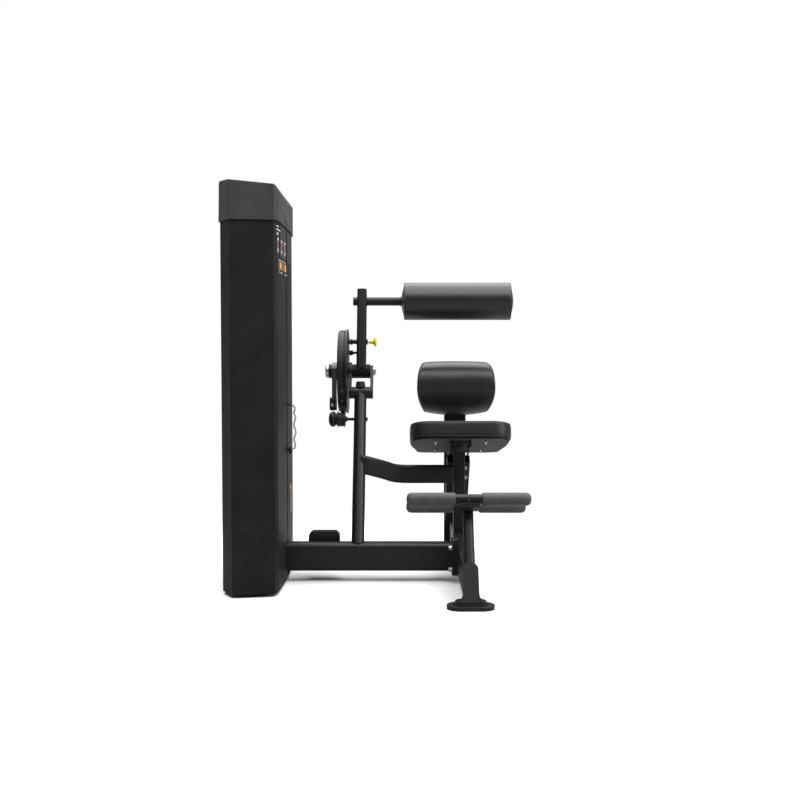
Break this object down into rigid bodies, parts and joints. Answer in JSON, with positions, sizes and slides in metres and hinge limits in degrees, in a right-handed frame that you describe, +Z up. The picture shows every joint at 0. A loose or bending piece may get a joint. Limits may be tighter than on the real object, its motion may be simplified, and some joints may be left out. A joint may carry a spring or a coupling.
{
  "type": "abdominal and back extension machine",
  "caption": "Seated abdominal and back extension machine with a shrouded weight stack, adjustable roller arm, tilted seat, back pad and ankle rollers.",
  "frame": {"origin": "centre of the bounding box footprint, on the floor", "axes": "+Z up, -Y towards the front that the user faces, the weight tower on -X"},
  "size_m": [1.2048, 1.2566, 1.584],
  "materials": {
    "frame_paint": "satin black powder coat",
    "shroud_sheet": "satin dark powder coat on sheet",
    "cap_plastic": "fine-grained grey moulding",
    "emblem_plastic": "smooth grey moulding",
    "placard_sheet": "printed panels, no lettering",
    "polished_steel": "polished",
    "stack_steel": "black painted steel plate",
    "zinc_steel": "zinc plated",
    "dark_rubber": "moulded rubber",
    "pad_vinyl": "black grained vinyl over foam",
    "board": "textured black backing board",
    "grip_foam": "dark grey moulded grip",
    "knob_plastic": "yellow moulded knob",
    "cable_jacket": "black coated steel cable",
    "belt": "black reinforced belt",
    "pulley_plastic": "black moulded pulley",
    "idler_steel": "dark steel",
    "pin_plastic": "black moulded"
  },
  "bodies": {
    "frame": {"tower_base": "frame_paint", "tower_feet": "dark_rubber", "tower_uprights": "frame_paint", "tower_crosshead": "frame_paint", "shroud_front": "shroud_sheet", "shroud_rear": "shroud_sheet", "top_cap": "cap_plastic", "emblem_panel": "emblem_plastic", "placards": "placard_sheet", "guide_rods": "polished_steel", "lower_plates": "stack_steel", "stack_cushions": "dark_rubber", "base_beam": "frame_paint", "beam_bolts": "zinc_steel", "pulley_guard": "frame_paint", "support_post": "frame_paint", "pivot_yoke": "frame_paint", "post_bumper": "dark_rubber", "pivot_shaft": "polished_steel", "brace_tube": "frame_paint", "post_bolts": "zinc_steel", "base_rail": "frame_paint", "seat_post": "frame_paint", "rear_column": "frame_paint", "seat_strut": "frame_paint", "front_leg": "frame_paint", "foot_bracket": "frame_paint", "foot_pads": "dark_rubber", "seat_bracket": "frame_paint", "seat_board": "board", "seat_cushion": "pad_vinyl", "seat_screws": "zinc_steel", "back_board": "board", "back_cushion": "pad_vinyl", "ankle_bracket": "frame_paint", "ankle_bars": "frame_paint", "ankle_grips": "grip_foam", "pulley_brackets": "frame_paint", "drive_cable": "cable_jacket", "drive_belt": "belt"},
    "cam": {"pivot_tube": "frame_paint", "cam_disc": "frame_paint", "cam_rim": "belt", "cam_lever": "idler_steel"},
    "arm": {"swing_arm": "frame_paint", "plunger_barrel": "frame_paint", "roller_shaft": "frame_paint"},
    "pop_pin": {"pop_pin": "polished_steel", "pull_knob": "knob_plastic"},
    "roller": {"roller_cushion": "pad_vinyl"},
    "stack": {"top_plate": "stack_steel", "upper_plates": "stack_steel", "selector_rod": "zinc_steel", "pin_lanyard": "pin_plastic", "lift_cable": "cable_jacket"},
    "selector": {"selector_pin": "pin_plastic"},
    "top_pulley": {"top_pulley": "pulley_plastic"},
    "low_pulley": {"low_pulley": "pulley_plastic"},
    "turn_pulley": {"turn_pulley": "pulley_plastic"},
    "idler": {"idler_shaft": "idler_steel"}
  },
  "joints": [
    {"name": "cam_swing", "type": "hinge", "parent": "frame", "child": "cam", "pos_m": [-0.1604, 0.28075, 0.85], "axis": [1, 0, 0], "range_deg": [0, 45]},
    {"name": "arm_adjust", "type": "hinge", "parent": "cam", "child": "arm", "pos_m": [-0.0824, 0.28075, 0.85], "axis": [1, 0, 0], "range_deg": [-20, 30]},
    {"name": "pop_pin_slide", "type": "slide", "parent": "arm", "child": "pop_pin", "axis": [1, 0, 0], "range_m": [-0.0065, 0.01], "stiffness_N_per_m": 800},
    {"name": "roller_spin", "type": "hinge", "parent": "arm", "child": "roller", "pos_m": [0.3484, 0.39498, 1.16386], "axis": [1, 0, 0], "continuous": true},
    {"name": "stack_lift", "type": "slide", "parent": "frame", "child": "stack", "axis": [0, 0, 1], "range_m": [0, 0.1], "deforming": ["lift_cable"]},
    {"name": "selector_slide", "type": "slide", "parent": "stack", "child": "selector", "axis": [1, 0, 0], "range_m": [0, 0.08]},
    {"name": "top_pulley_spin", "type": "hinge", "parent": "frame", "child": "top_pulley", "pos_m": [-0.5104, -0.09925, 1.335], "axis": [0, 1, 0], "continuous": true},
    {"name": "low_pulley_spin", "type": "hinge", "parent": "frame", "child": "low_pulley", "pos_m": [-0.5104, -0.09925, 0.1495], "axis": [0, 1, 0], "continuous": true},
    {"name": "turn_pulley_spin", "type": "hinge", "parent": "frame", "child": "turn_pulley", "pos_m": [-0.1084, -0.09743, 0.118], "axis": [0, -0.8817, 0.4717], "continuous": true},
    {"name": "idler_spin", "type": "hinge", "parent": "frame", "child": "idler", "pos_m": [-0.1604, 0.16183, 0.645], "axis": [1, 0, 0], "continuous": true}
  ],
  "couplings": [
    {"joint": "stack_lift", "follows": "cam_swing", "m_per_rad": 0.12},
    {"joint": "top_pulley_spin", "follows": "cam_swing", "ratio": -2.4},
    {"joint": "low_pulley_spin", "follows": "cam_swing", "ratio": -2.4},
    {"joint": "turn_pulley_spin", "follows": "cam_swing", "ratio": 4.8},
    {"joint": "idler_spin", "follows": "cam_swing", "ratio": 6}
  ]
}
